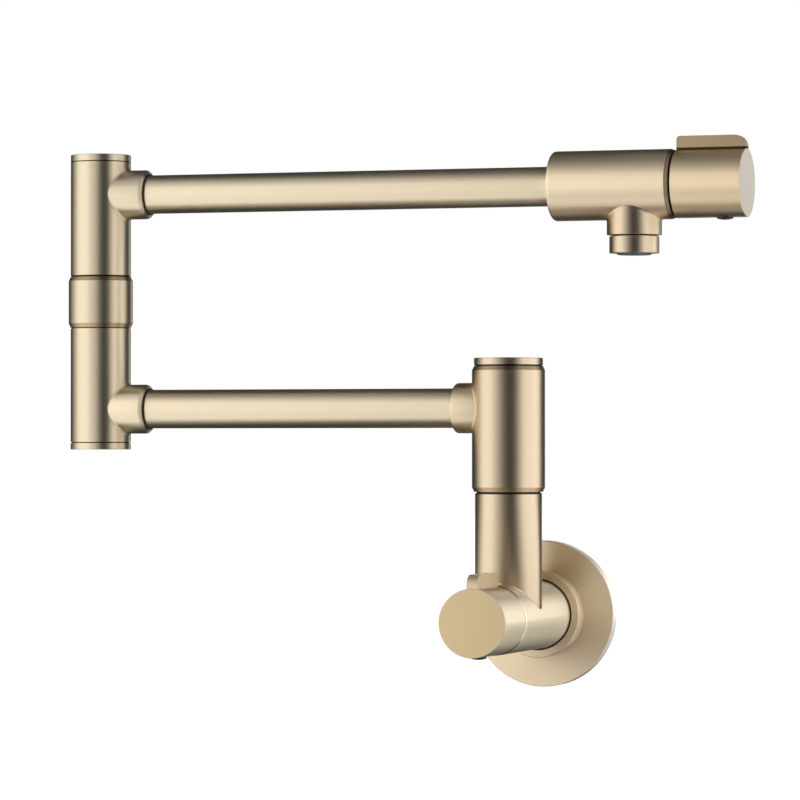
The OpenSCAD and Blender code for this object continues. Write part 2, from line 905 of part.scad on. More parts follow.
module elbow_o_rings() {
    color(black_rubber) at_elbow() spindle_o_rings(elbow_journal_r, upper_z);
}

// Collar screwed on the spindle between the elbow barrels, bevelled at both ends
module elbow_collar() {
    thread_r = elbow_journal_r + collar_thread_step + thread_fit;
    lip_r = elbow_journal_r + run_fit;
    color(gold) at_elbow() turned([
        [thread_r, elbow_seat], [elbow_r - seam_depth, elbow_seat],
        [elbow_r - seam_depth, elbow_seat + seam_h], [elbow_r, elbow_seat + seam_h],
        [collar_r, elbow_seat + seam_h + bevel_h], [collar_r, collar_top - bevel_h],
        [elbow_r, collar_top], [lip_r, collar_top], [lip_r, collar_top - collar_lip],
        [thread_r, collar_top - collar_lip],
    ]);
}

// Slide washer between the collar and the upper barrel
module elbow_thrust_washer() {
    color(black_rubber) at_elbow()
        ring(elbow_r - seam_depth, elbow_journal_r + run_fit, collar_top, upper_bottom);
}

module elbow_top_washer() {
    color(white_plastic) at_elbow() top_washer(elbow_journal_r, elbow_r, elbow_ledge);
}

module elbow_retaining_ring() {
    color(steel) at_elbow() retaining_ring(elbow_journal_r, elbow_r, elbow_ledge);
}

// Upper elbow barrel: turns on the elbow spindle and carries the upper arm
module elbow_upper_barrel() {
    color(gold) at_elbow() difference() {
        union() {
            rod(elbow_r, upper_bottom, upper_end);
            translate([0, 0, upper_z]) rotate([0, 90, 0]) socket_outside(elbow_reach);
        }
        swivel_barrel_holes(elbow_r, elbow_journal_r, upper_bottom, elbow_ledge, upper_end);
        translate([0, 0, upper_z]) rotate([0, 90, 0]) {
            socket_holes(elbow_reach);
            seal_recess(elbow_reach);
        }
    }
}

module elbow_top_cap() {
    color(gold) at_elbow() translate([0, 0, upper_end])
        barrel_cap(elbow_r, elbow_r, elbow_cap_t, cap_plug);
}

module upper_arm_tube() {
    arm_tube(-lower_arm_len + elbow_reach - tube_depth,
             upper_arm_len - lower_arm_len - spout_rear + tube_depth, upper_z);
}

// Spout valve body with the spout that drops from it
module spout_valve_body() {
    color(gold) difference() {
        union() {
            at_spout_valve() turned(concat(
                [[0, -spout_rear]],
                arc_points([valve_r - rear_round, -spout_rear + rear_round], rear_round, -90, 0),
                [[valve_r, spout_front - valve_bevel_len], [valve_r - valve_bevel, spout_front],
                 [0, spout_front]]));
            at_spout() turned([
                [0, -skirt_drop], [skirt_r - edge_break, -skirt_drop],
                [skirt_r, -skirt_drop + edge_break], [skirt_r, 0], [0, 0],
            ]);
        }
        at_spout_face() cartridge_cavity();
        at_spout_valve() rod(tube_bore_r, -spout_rear, spout_front - cart_len + overrun);
        at_spout_valve()
            rod(tube_r + solder_fit, -spout_rear - overrun, -spout_rear + tube_depth);
        at_spout() rod(outlet_r, -skirt_drop, -outlet_from);
        at_spout() rod(aerator_thread_r + thread_fit, -skirt_drop - overrun, -washer_seat);
    }
}

module aerator_washer() {
    color(black_rubber) at_spout()
        ring(aerator_thread_r, outlet_r + overrun, -washer_seat - aerator_washer_t, -washer_seat);
}

// Aerator housing: threaded neck above, seam, plain ring below
module aerator_housing() {
    top = -washer_seat - aerator_washer_t;
    seam_top = -skirt_drop;
    ring_top = seam_top - aerator_seam;
    bottom = ring_top - aerator_h;
    bore = insert_r + run_fit;
    seam_r = aerator_thread_r - aerator_undercut;
    color(gold) at_spout() turned([
        [bore, bottom], [aerator_r - edge_break, bottom], [aerator_r, bottom + edge_break],
        [aerator_r, ring_top - edge_break], [aerator_r - edge_break, ring_top],
        [seam_r, ring_top], [seam_r, seam_top], [aerator_thread_r, seam_top],
        [aerator_thread_r, top], [bore - aerator_lip, top], [bore - aerator_lip, top - aerator_lip],
        [bore, top - aerator_lip],
    ]);
}

// Aerator insert: a plastic core with rings of outlet holes
module aerator_insert() {
    top = -washer_seat - aerator_washer_t - aerator_lip;
    bottom = -skirt_drop - aerator_seam - aerator_h - insert_proud;
    groove_r = insert_r - insert_groove_w * 2;
    color(slate_plastic) at_spout() difference() {
        turned([
            [0, bottom], [insert_r - insert_groove_w, bottom], [insert_r, bottom + insert_groove_w],
            [insert_r, top], [0, top],
        ]);
        ring(groove_r, groove_r - insert_groove_w, bottom - overrun, bottom + insert_groove_w);
        for (k = [0 : insert_rings])
            for (i = [0 : max(k * 6 - 1, 0)])
                rotate([0, 0, i * 60 / max(k, 1)]) translate([k * insert_hole_pitch, 0, 0])
                    rod(insert_hole_r, bottom - overrun, bottom + insert_hole_depth);
    }
}

wall_flange();
flange_gasket();
flange_o_ring();
main_valve_body();
main_cartridge_housing();
main_cartridge_seal();
main_fixed_disc();
main_cartridge_nut();
shoulder_spindle();
shoulder_o_rings();
shoulder_thrust_washer();
shoulder_top_washer();
shoulder_retaining_ring();
main_handle_shell();
main_handle_lever();
main_handle_plug();
main_set_screw();
main_stem();
main_stem_o_ring();
main_moving_disc();
shoulder_barrel();
shoulder_cap();
lower_arm_tube();
lower_tube_seal();
elbow_lower_barrel();
elbow_bottom_cap();
elbow_spindle();
elbow_o_rings();
elbow_collar();
elbow_thrust_washer();
elbow_top_washer();
elbow_retaining_ring();
elbow_upper_barrel();
elbow_top_cap();
upper_arm_tube();
upper_tube_seal();
spout_valve_body();
spout_cartridge_housing();
spout_cartridge_seal();
spout_fixed_disc();
spout_cartridge_nut();
aerator_washer();
aerator_housing();
aerator_insert();
spout_handle_shell();
spout_handle_lever();
spout_handle_plug();
spout_set_screw();
spout_stem();
spout_stem_o_ring();
spout_moving_disc();
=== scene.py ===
"""Looks of the wall mounted pot filler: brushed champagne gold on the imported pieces, light and camera."""

import json
import math

import bpy
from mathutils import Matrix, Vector


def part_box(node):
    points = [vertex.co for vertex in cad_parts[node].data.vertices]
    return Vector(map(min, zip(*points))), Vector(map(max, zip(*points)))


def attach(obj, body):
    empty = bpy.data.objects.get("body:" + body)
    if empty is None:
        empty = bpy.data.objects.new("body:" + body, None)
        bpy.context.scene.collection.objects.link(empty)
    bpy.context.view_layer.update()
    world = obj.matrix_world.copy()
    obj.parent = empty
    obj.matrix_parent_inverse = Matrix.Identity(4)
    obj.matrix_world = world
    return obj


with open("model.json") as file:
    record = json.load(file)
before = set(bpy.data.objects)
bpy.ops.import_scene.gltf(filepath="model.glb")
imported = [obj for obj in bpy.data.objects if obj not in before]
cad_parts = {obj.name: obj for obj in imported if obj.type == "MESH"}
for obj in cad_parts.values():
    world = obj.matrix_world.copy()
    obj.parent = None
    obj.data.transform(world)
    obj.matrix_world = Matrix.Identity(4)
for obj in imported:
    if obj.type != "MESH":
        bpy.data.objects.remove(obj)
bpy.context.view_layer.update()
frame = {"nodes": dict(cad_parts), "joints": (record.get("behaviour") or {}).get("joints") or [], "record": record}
nodes = frame["nodes"]
joints = {joint["name"]: joint for joint in frame["joints"]}

MM = 0.001
X_AXIS, Y_AXIS, Z_AXIS = Vector((1, 0, 0)), Vector((0, 1, 0)), Vector((0, 0, 1))


# Places and sizes of the object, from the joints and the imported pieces

def size_of(node):
    """Width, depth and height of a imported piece."""
    low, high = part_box(node)
    return high - low


def middle_of(node):
    """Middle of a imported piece's box."""
    low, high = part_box(node)
    return (low + high) / 2


def height_span(node):
    """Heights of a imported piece's bottom and top."""
    low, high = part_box(node)
    return low.z, high.z


shoulder = Vector(joints["shoulder_swing"]["pos_m"])
elbow = Vector(joints["elbow_swing"]["pos_m"])
valve_axis = Vector((0, 0, 0))
aerator_axis = middle_of("aerator_housing")
lower_arm_z = shoulder.z
upper_arm_z = elbow.z
lower_line = Vector((0, shoulder.y, lower_arm_z))
spout_line = Vector((0, shoulder.y, upper_arm_z))

WASHER_INSET = 0.8 * MM
valve_r = size_of("spout_valve_body").y / 2
riser_r = size_of("shoulder_thrust_washer").x / 2 + WASHER_INSET
shoulder_r = size_of("shoulder_barrel").y / 2
elbow_r = size_of("elbow_upper_barrel").y / 2
flange_r = size_of("wall_flange").x / 2

# These two are no piece of their own, so no box shows them
socket_r = 13.15 * MM
skirt_r = 14.25 * MM

main_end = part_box("main_valve_body")[0].y
spout_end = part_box("spout_valve_body")[1].x
riser_top = height_span("main_valve_body")[1]
skirt_end = height_span("spout_valve_body")[0]
shoulder_low, shoulder_high = height_span("shoulder_barrel")
lower_low, lower_high = height_span("elbow_lower_barrel")
upper_low, upper_high = height_span("elbow_upper_barrel")


# Shader nodes

# Most of a noise lies between the first two values. MIX_SOCKETS holds a mix node's inputs for its first and
# second value, and its output, by the type of its data.
NOISE_LOW, NOISE_HIGH = 0.3, 0.7
BUMP_DEPTH = 0.03 * MM
MIX_SOCKETS = {"FLOAT": (2, 3, 0), "VECTOR": (4, 5, 1), "RGBA": (6, 7, 2)}


def rgba(colour):
    return (*colour, 1.0)


class Shader:
    """The node tree of a material or of the world, with short calls for its nodes and its maths."""

    def __init__(self, owner, output):
        owner.use_nodes = True
        self.tree = owner.node_tree
        self.tree.nodes.clear()
        self.output = self.add(output)

    def add(self, kind, **settings):
        node = self.tree.nodes.new(kind)
        for key, value in settings.items():
            setattr(node, key, value)
        return node

    def put(self, socket, value):
        """Links a socket to another one, or sets its value."""
        if isinstance(value, bpy.types.NodeSocket):
            self.tree.links.new(value, socket)
        elif value is not None:
            socket.default_value = value

    def coordinate(self, kind):
        """Object for the place in the piece's own frame, Normal for the surface's direction there."""
        return self.add("ShaderNodeTexCoord").outputs[kind]

    def math(self, operation, *values):
        node = self.add("ShaderNodeMath", operation=operation)
        for socket, value in zip(node.inputs, values):
            self.put(socket, value)
        return node.outputs[0]

    def weigh(self, share, first, second):
        """A share of the first number and the rest of the second."""
        return self.math("ADD", self.math("MULTIPLY", first, share), self.math("MULTIPLY", second, 1 - share))

    def vector(self, operation, *values):
        node = self.add("ShaderNodeVectorMath", operation=operation)
        for socket, value in zip(node.inputs, values):
            self.put(socket, value)
        return node.outputs["Value" if operation in ("DOT_PRODUCT", "LENGTH") else "Vector"]

    def constant(self, value):
        """A constant vector as a socket."""
        node = self.add("ShaderNodeCombineXYZ")
        for socket, number in zip(node.inputs, value):
            socket.default_value = number
        return node.outputs[0]

    def scaled(self, vector, factor):
        node = self.add("ShaderNodeVectorMath", operation="SCALE")
        self.put(node.inputs[0], vector)
        self.put(node.inputs["Scale"], factor)
        return node.outputs["Vector"]

    def mix(self, kind, share, first, second):
        """From the first to the second of two numbers (FLOAT), vectors (VECTOR) or colours (RGBA)."""
        first_socket, second_socket, result = MIX_SOCKETS[kind]
        node = self.add("ShaderNodeMix", data_type=kind)
        self.put(node.inputs[0], share)
        self.put(node.inputs[first_socket], first)
        self.put(node.inputs[second_socket], second)
        return node.outputs[result]

    def noise(self, vector, scale, detail, w=None):
        node = self.add("ShaderNodeTexNoise", noise_dimensions="3D" if w is None else "4D")
        self.put(node.inputs["Vector"], vector)
        if w is not None:
            self.put(node.inputs["W"], w)
        node.inputs["Scale"].default_value = scale
        node.inputs["Detail"].default_value = detail
        return node.outputs["Fac"]

    def spread(self, noise, low=0.0, high=1.0):
        """Spreads a noise, whose values gather round 0.5, from low to high."""
        node = self.add("ShaderNodeMapRange")
        limits = {"From Min": NOISE_LOW, "From Max": NOISE_HIGH, "To Min": low, "To Max": high}
        for name, number in limits.items():
            node.inputs[name].default_value = number
        self.put(node.inputs["Value"], noise)
        return node.outputs["Result"]

    def soft_step(self, value, low, high):
        """0 below low, 1 above high, smooth between them."""
        node = self.add("ShaderNodeMapRange", interpolation_type="SMOOTHSTEP")
        node.inputs["From Min"].default_value = low
        node.inputs["From Max"].default_value = high
        self.put(node.inputs["Value"], value)
        return node.outputs["Result"]

    def window(self, value, low, low_feather, high, high_feather):
        """1 between two soft edges, 0 outside them."""
        rise = self.soft_step(value, low - low_feather, low + low_feather)
        fall = self.soft_step(value, high - high_feather, high + high_feather)
        return self.math("SUBTRACT", rise, fall)

    def bump(self, height, strength):
        node = self.add("ShaderNodeBump")
        node.inputs["Strength"].default_value = strength
        node.inputs["Distance"].default_value = BUMP_DEPTH
        self.put(node.inputs["Height"], height)
        return node.outputs["Normal"]

    def seen_plainly(self):
        """1 for rays from the camera and for those reflected or let through, 0 for the rest."""
        path = self.add("ShaderNodeLightPath")
        seen = self.math("MAXIMUM", path.outputs["Is Camera Ray"], path.outputs["Is Glossy Ray"])
        return self.math("MAXIMUM", seen, path.outputs["Is Transmission Ray"])

    def combine(self, kind, first, second, share=None):
        """Joins two shaders by an add or a mix node, which becomes the surface."""
        node = self.add(kind)
        if share is not None:
            self.put(node.inputs[0], share)
        self.tree.links.new(first.outputs[0], node.inputs[-2])
        self.tree.links.new(second.outputs[0], node.inputs[-1])
        self.tree.links.new(node.outputs[0], self.output.inputs["Surface"])

    def surface(self, **inputs):
        node = self.add("ShaderNodeBsdfPrincipled")
        for name, value in inputs.items():
            self.put(node.inputs[name.replace("_", " ")], value)
        self.tree.links.new(node.outputs["BSDF"], self.output.inputs["Surface"])


def new_material(name):
    """A material and its node tree, which holds only the output."""
    material = bpy.data.materials.new(name)
    return material, Shader(material, "ShaderNodeOutputMaterial")


# Brushed gold

GOLD_BUMP = 0.25
GOLD_ROUGHNESS = 0.45
ROUGHNESS_SPREAD = 0.04
GOLD_ANISOTROPY = 0.9

# Scales of the noises, in grains to the metre. One turn round the axis takes the noise round a circle of
# GRAIN_TURN fine grains' radius, so the brushed lines are long.
GRAIN_FINE = 3200.0
GRAIN_COARSE = 700.0
GRAIN_CLOUD = 28.0
GRAIN_TURN = 2.0
FINE_SHARE = 0.6
GRAIN_SHARE = 0.7

# A surface is a flat end where the cosine between its normal and the axis is past the first value. The second
# holds the cosines between a normal and up where a band's painted side highlight begins and ends, each with its
# soft edge.
END_COSINE = 0.9
SIDE_WINDOW = (-0.55, 0.12, 0.62, 0.12)
FACE_DEEP_SHARE = 0.91
BAND_FEATHER = 0.06 * MM

# Each gold is a light and a deep colour, which the grain mixes. The object is one champagne gold: DRUM, ARM,
# SPOUT_HANDLE and SPOUT_LEVER are paler or darker copies of CHAMPAGNE, painted light and shade for how each
# part is lit.
CHAMPAGNE = (0.88, 0.735, 0.53), (0.80, 0.655, 0.455)
DRUM = (0.88, 0.775, 0.59), (0.80, 0.69, 0.51)
ARM = (0.88, 0.765, 0.57), (0.80, 0.685, 0.49)
SPOUT_HANDLE = (0.875, 0.715, 0.49), (0.795, 0.637, 0.42)
SPOUT_LEVER = (0.69, 0.53, 0.335), (0.62, 0.475, 0.29)
# Painted light on the handles' flat end faces: painted shade on the main handle's, a painted sheen on the spout
# handle's
HANDLE_FACE_SHADE = (0.79, 0.62, 0.37)
SPOUT_FACE_SHEEN = (0.78, 0.70, 0.57)


def round_axis(shader, axis, through):
    """Brushing round an axis: the noise's place, the distance from the axis and the lines' direction."""
    offset = shader.vector("SUBTRACT", shader.coordinate("Object"), through)
    along = shader.scaled(shader.constant(axis), shader.vector("DOT_PRODUCT", offset, axis))
    out = shader.vector("SUBTRACT", offset, along)
    turn = shader.scaled(shader.vector("NORMALIZE", out), GRAIN_TURN / GRAIN_FINE)
    lines = shader.vector("NORMALIZE", shader.vector("CROSS_PRODUCT", axis, offset))
    return shader.vector("ADD", along, turn), shader.vector("LENGTH", out), lines


def branched(shader, main, branch):
    """The brushing of a piece whose branch has its own axis and begins past a radius of the main axis."""
    begins, branch_axis, branch_through = branch
    place, radius, lines = main
    past = shader.math("GREATER_THAN", radius, begins)
    branch_place, branch_radius, branch_lines = round_axis(shader, branch_axis, branch_through)
    return (shader.mix("VECTOR", past, place, branch_place), shader.mix("FLOAT", past, radius, branch_radius),
            shader.mix("VECTOR", past, lines, branch_lines))


def with_bands(shader, paint, radius, normal, bands):
    """The paint with the bands' painted shade and painted highlights over it."""
    place = shader.coordinate("Object")
    for direction, begin, end, colour, side_highlight in bands:
        measure = radius if direction is None else shader.vector("DOT_PRODUCT", place, direction)
        band_paint = rgba(colour)
        if side_highlight is not None:
            side = shader.window(shader.vector("DOT_PRODUCT", normal, Z_AXIS), *SIDE_WINDOW)
            band_paint = shader.mix("RGBA", side, band_paint, rgba(side_highlight))
        share = shader.window(measure, begin, BAND_FEATHER, end, BAND_FEATHER)
        paint = shader.mix("RGBA", share, paint, band_paint)
    return paint


def brushed_gold(name, axis, through, branch=None, across=None, face=None, bands=(), gold=CHAMPAGNE,
                 roughness=GOLD_ROUGHNESS):
    """Gold that is brushed round an axis through a point.

    branch holds the radius past which a branch of the piece begins, and that branch's own axis and a point
    on it. across is the direction square to the straight lines on the flat faces that close the piece, and
    face, for which across is needed, their painted light and shade: a tone of their own for how they catch
    the light. bands holds what band and seam return.
    """
    material, shader = new_material(name)
    brushing = round_axis(shader, axis, through)
    if branch is not None:
        brushing = branched(shader, brushing, branch)
    place, radius, lines = brushing
    fine = shader.noise(place, GRAIN_FINE, detail=3.0, w=shader.math("MULTIPLY", radius, GRAIN_FINE))
    coarse = shader.noise(place, GRAIN_COARSE, detail=2.0, w=shader.math("MULTIPLY", radius, GRAIN_COARSE))
    cloud = shader.noise(shader.coordinate("Object"), GRAIN_CLOUD, detail=3.0)
    grain = shader.weigh(FINE_SHARE, fine, coarse)
    tone = shader.weigh(GRAIN_SHARE, grain, cloud)
    light, deep = gold
    paint = shader.mix("RGBA", shader.spread(tone), rgba(deep), rgba(light))
    normal = shader.coordinate("Normal")
    square = shader.vector("CROSS_PRODUCT", lines, normal)
    if across is not None:
        cosine = shader.math("ABSOLUTE", shader.vector("DOT_PRODUCT", normal, axis))
        flat_end = shader.math("GREATER_THAN", cosine, END_COSINE)
        square = shader.mix("VECTOR", flat_end, square, across)
    if face is not None:
        face_deep = tuple(FACE_DEEP_SHARE * part for part in face)
        face_paint = shader.mix("RGBA", shader.spread(tone), rgba(face_deep), rgba(face))
        paint = shader.mix("RGBA", flat_end, paint, face_paint)
    turn = shader.add("ShaderNodeVectorTransform", vector_type="VECTOR", convert_from="OBJECT",
                      convert_to="WORLD")
    shader.put(turn.inputs[0], square)
    shader.surface(
        Base_Color=with_bands(shader, paint, radius, normal, bands),
        Metallic=1.0,
        Roughness=shader.spread(tone, roughness - ROUGHNESS_SPREAD, roughness + ROUGHNESS_SPREAD),
        Anisotropic=GOLD_ANISOTROPY,
        Tangent=turn.outputs[0],
        Normal=shader.bump(grain, GOLD_BUMP),
    )
    return material


# Bands: painted shade in the seams and on the bevels, and painted highlights on the flange's rim and on the
# sides of the wall valve's bevel at the handle

SEAM_SHADE = (0.07, 0.052, 0.03)
FLANGE_GLINT = (1.0, 0.93, 0.82)
# Painted shade on the wall valve's bevel by the handle gap, with a painted highlight where that bevel faces
# sideways
HANDLE_GAP_SHADE, HANDLE_GAP_HIGHLIGHT = (0.30, 0.24, 0.15), (1.0, 0.93, 0.80)
# Painted shade on the bevels at the foot and crown of the shoulder barrel and of the elbow collar, and on the
# spout valve's end bevel
SHOULDER_FOOT_SHADE, SHOULDER_CROWN_SHADE = (0.65, 0.46, 0.29), (0.43, 0.33, 0.21)
COLLAR_FOOT_SHADE, COLLAR_CROWN_SHADE = (0.61, 0.46, 0.27), (0.46, 0.32, 0.18)
SPOUT_BEVEL_SHADE = (0.33, 0.26, 0.17)

# LIP is how far a band runs past the end of a piece, so that the end has its colour too. A seam takes in EDGE
# of the piece, or LIP where the photo's is wider.
LIP = 0.25 * MM
EDGE = 0.15 * MM
BEVEL_H = 2.3 * MM
SEAM_H = 0.4 * MM
RISER_SEAM_H = 0.45 * MM
AERATOR_SEAM_H = 0.75 * MM
COLLAR_GAP = 0.45 * MM
NECK_GAP = 1.0 * MM
FLANGE_RIM = 0.12 * MM
HANDLE_GAP_REACH = 1.3 * MM
SPOUT_BEVEL_REACH = 2.1 * MM
LEVER_FOOT_H = 0.4 * MM


def band(direction, begin, end, colour, side_highlight=None):
    """Band of painted shade or highlight between two distances along a direction or, where it is None, from the
    piece's axis.

    The side colour, if there is one, is a painted highlight on those parts that face neither up nor down.
    """
    return direction, begin, end, colour, side_highlight


def seam(direction, begin, end):
    """Band of painted shade, as dark as the shaded gap between two pieces."""
    return band(direction, begin, end, SEAM_SHADE)


# Painted shade at the seam atop the riser, and at the spout lever's foot where it meets the shell
riser_seam = seam(Z_AXIS, riser_top - RISER_SEAM_H, riser_top + LIP)
lever_foot_shade = seam(Z_AXIS, upper_arm_z, upper_arm_z + valve_r + LEVER_FOOT_H)
collar_top = upper_low - COLLAR_GAP

# Branches of the barrels: the radius past which each begins, its axis and a point on it
BRANCH_MARGIN = 0.03 * MM
riser = (valve_r + BRANCH_MARGIN, Z_AXIS, shoulder)
skirt = (valve_r + BRANCH_MARGIN, Z_AXIS, aerator_axis)
shoulder_socket = (shoulder_r + BRANCH_MARGIN, X_AXIS, lower_line)
lower_socket = (elbow_r + BRANCH_MARGIN, X_AXIS, lower_line)
upper_socket = (elbow_r + BRANCH_MARGIN, X_AXIS, spout_line)

GOLD = {
    "wall_flange": brushed_gold("gold_wall_flange", Y_AXIS, valve_axis, bands=(
        seam(None, 0, valve_r + NECK_GAP),
        band(None, flange_r - FLANGE_RIM, flange_r + LIP, FLANGE_GLINT))),
    "main_valve_body": brushed_gold("gold_main_valve", Y_AXIS, valve_axis, riser, gold=DRUM, bands=(
        riser_seam,
        band(Y_AXIS, main_end + EDGE, main_end + HANDLE_GAP_REACH, HANDLE_GAP_SHADE, HANDLE_GAP_HIGHLIGHT))),
    "riser": brushed_gold("gold_riser", Y_AXIS, valve_axis, riser, bands=(riser_seam,)),
    "riser_bead": brushed_gold("gold_riser_bead", Z_AXIS, shoulder, roughness=0.5),
    "main_handle_shell": brushed_gold("gold_main_handle", Y_AXIS, valve_axis, across=Z_AXIS,
                                      face=HANDLE_FACE_SHADE, gold=DRUM),
    "main_handle_lever": brushed_gold("gold_main_lever", X_AXIS, valve_axis, across=Z_AXIS),
    "shoulder_barrel": brushed_gold("gold_shoulder_barrel", Z_AXIS, shoulder, shoulder_socket, bands=(
        band(Z_AXIS, shoulder_low - LIP, shoulder_low + BEVEL_H, SHOULDER_FOOT_SHADE),
        band(Z_AXIS, shoulder_high - BEVEL_H, shoulder_high + LIP, SHOULDER_CROWN_SHADE),
        seam(Z_AXIS, shoulder_high - LIP, shoulder_high + LIP))),
    "shoulder_cap": brushed_gold("gold_shoulder_cap", Z_AXIS, shoulder, bands=(
        seam(Z_AXIS, shoulder_high - LIP, shoulder_high + SEAM_H + LIP),)),
    "lower_arm_tube": brushed_gold("gold_lower_tube", X_AXIS, lower_line, gold=ARM),
    "elbow_bottom_cap": brushed_gold("gold_elbow_bottom_cap", Z_AXIS, elbow, gold=ARM, bands=(
        seam(Z_AXIS, lower_low - SEAM_H, lower_low + LIP),)),
    "elbow_lower_barrel": brushed_gold("gold_elbow_lower", Z_AXIS, elbow, lower_socket, gold=ARM, bands=(
        seam(Z_AXIS, lower_high - EDGE, lower_high + LIP),
        seam(Z_AXIS, lower_low - LIP, lower_low + EDGE))),
    "elbow_collar": brushed_gold("gold_elbow_collar", Z_AXIS, elbow, gold=ARM, bands=(
        band(Z_AXIS, lower_high, lower_high + SEAM_H + BEVEL_H, COLLAR_FOOT_SHADE),
        seam(Z_AXIS, lower_high - LIP, lower_high + SEAM_H),
        band(Z_AXIS, collar_top - BEVEL_H, upper_low, COLLAR_CROWN_SHADE),
        seam(Z_AXIS, collar_top - LIP, upper_low))),
    "elbow_upper_barrel": brushed_gold("gold_elbow_upper", Z_AXIS, elbow, upper_socket, gold=ARM, bands=(
        seam(Z_AXIS, upper_low - LIP, upper_low + LIP),
        seam(Z_AXIS, upper_high - EDGE, upper_high + LIP))),
    "elbow_top_cap": brushed_gold("gold_elbow_top_cap", Z_AXIS, elbow, gold=ARM, bands=(
        seam(Z_AXIS, upper_high - LIP, upper_high + SEAM_H),)),
    "upper_arm_tube": brushed_gold("gold_upper_tube", X_AXIS, spout_line, gold=ARM),
    "spout_valve_body": brushed_gold("gold_spout_valve", X_AXIS, spout_line, skirt, bands=(
        band(X_AXIS, spout_end - SPOUT_BEVEL_REACH, spout_end + LIP, SPOUT_BEVEL_SHADE),
        seam(X_AXIS, spout_end - EDGE, spout_end + LIP))),
    "spout_handle_shell": brushed_gold("gold_spout_handle", X_AXIS, spout_line, across=Z_AXIS,
                                       face=SPOUT_FACE_SHEEN, gold=SPOUT_HANDLE),
    "spout_handle_lever": brushed_gold("gold_spout_lever", Y_AXIS, spout_line, across=Z_AXIS,
                                       gold=SPOUT_LEVER, bands=(lever_foot_shade,)),
    "aerator_housing": brushed_gold("gold_aerator", Z_AXIS, aerator_axis, bands=(
        seam(Z_AXIS, skirt_end - AERATOR_SEAM_H, skirt_end + LIP),)),
}


# Moulded and machined finishes

PLAIN_GRAIN = 900.0
PLAIN_CLOUD = 40.0
PLAIN_BUMP = 0.3
PLAIN_ROUGHNESS_SPREAD = 0.05
PLAIN_DEEP_SHARE = 0.88


def plain(name, colour, roughness, metallic=0.0):
    """A moulded or machined finish with a fine grain."""
    material, shader = new_material(name)
    place = shader.coordinate("Object")
    fine = shader.noise(place, PLAIN_GRAIN, detail=3.0)
    cloud = shader.noise(place, PLAIN_CLOUD, detail=2.0)
    deep = tuple(PLAIN_DEEP_SHARE * part for part in colour)
    shader.surface(
        Base_Color=shader.mix("RGBA", shader.spread(cloud), rgba(deep), rgba(colour)),
        Metallic=metallic,
        Roughness=shader.spread(fine, roughness - PLAIN_ROUGHNESS_SPREAD, roughness + PLAIN_ROUGHNESS_SPREAD),
        Normal=shader.bump(fine, PLAIN_BUMP),
    )
    return material


PLAIN_BY_SLOT = {
    "seal_rubber": plain("black_rubber", (0.012, 0.012, 0.013), 0.55),
    "black_plastic": plain("black_plastic", (0.016, 0.017, 0.019), 0.32),
    "ptfe": plain("white_ptfe", (0.82, 0.82, 0.79), 0.45),
    "alumina_ceramic": plain("alumina", (0.86, 0.85, 0.81), 0.25),
    "aerator_plastic": plain("slate_plastic", (0.11, 0.14, 0.17), 0.35),
    "steel": plain("spring_steel", (0.56, 0.57, 0.59), 0.3, metallic=1.0),
    "machined_brass": plain("machined_brass", (0.76, 0.60, 0.31), 0.3, metallic=1.0),
}

for row in frame["record"]["subparts"]:
    node, slot = row["node"], row["material_slot"]
    finish = PLAIN_BY_SLOT[slot] if slot in PLAIN_BY_SLOT else GOLD[node]
    nodes[node].data.materials.clear()
    nodes[node].data.materials.append(finish)


# Fillets where one round body meets another

# Open edges of a fillet are sunk into its pieces by a share of the ball's radius. A sleeve is the thin skin
# that runs on from a fillet over the branch, and turns over the branch's rounded end by SLEEVE_TURN.
SADDLE_STEPS = 96
SADDLE_ROWS = 8
SUNK_SHARE = 0.04
SLEEVE_SKIN = 0.03 * MM
SLEEVE_SUNK = 2 * SLEEVE_SKIN
SLEEVE_TURN = math.radians(78)

SOCKET_ROUND = 1.9 * MM
SHARP_ROUND = 0.3 * MM
SHOULDER_FILLET = 1.0 * MM
ELBOW_FILLET = 1.6 * MM
SKIRT_FILLET = 1.2 * MM
RISER_FILLET = 0.3 * MM
RISER_BEAD = 0.9 * MM


def new_object(name, vertices, faces, material):
    """A mesh of one material, as an object in the scene."""
    mesh = bpy.data.meshes.new(name)
    mesh.from_pydata([tuple(vertex) for vertex in vertices], [], faces)
    mesh.materials.append(material)
    thing = bpy.data.objects.new(name, mesh)
    bpy.context.scene.collection.objects.link(thing)
    return thing


def sleeve_outline(branch_r, reach, end_round):
    """Points of the skin over the branch's rounded end: how far each is along the branch, and its radius.

    The last point is sunk into the branch, so that the skin closes.
    """
    outline = []
    for k in range(SADDLE_ROWS + 1):
        turn = SLEEVE_TURN * k / SADDLE_ROWS
        ball_r = end_round + (SLEEVE_SKIN if k < SADDLE_ROWS else -SLEEVE_SUNK)
        outline.append((reach - end_round + ball_r * math.sin(turn),
                        branch_r - end_round + ball_r * math.cos(turn)))
    return outline


def fillet_arc(angle, barrel_r, branch_r, ball_r, last_reach):
    """Where the rolling ball touches, at one angle round the branch, from the barrel to the branch."""
    b = (branch_r + ball_r) * math.cos(angle)
    c = (branch_r + ball_r) * math.sin(angle)
    a = math.sqrt((barrel_r + ball_r) ** 2 - c ** 2)
    centre = Vector((a, b, c))
    to_barrel = Vector((-a, 0, -c)).normalized()
    to_branch = Vector((0, -b, -c)).normalized()
    full = to_barrel.angle(to_branch)
    reaches = [ball_r * (1 + SUNK_SHARE)] + [ball_r] * (SADDLE_ROWS - 1) + [last_reach]
    arc = []
    for k, reach in enumerate(reaches):
        share = k / SADDLE_ROWS
        first = math.sin((1 - share) * full) / math.sin(full)
        last = math.sin(share * full) / math.sin(full)
        arc.append(centre + (to_barrel * first + to_branch * last) * reach)
    return arc


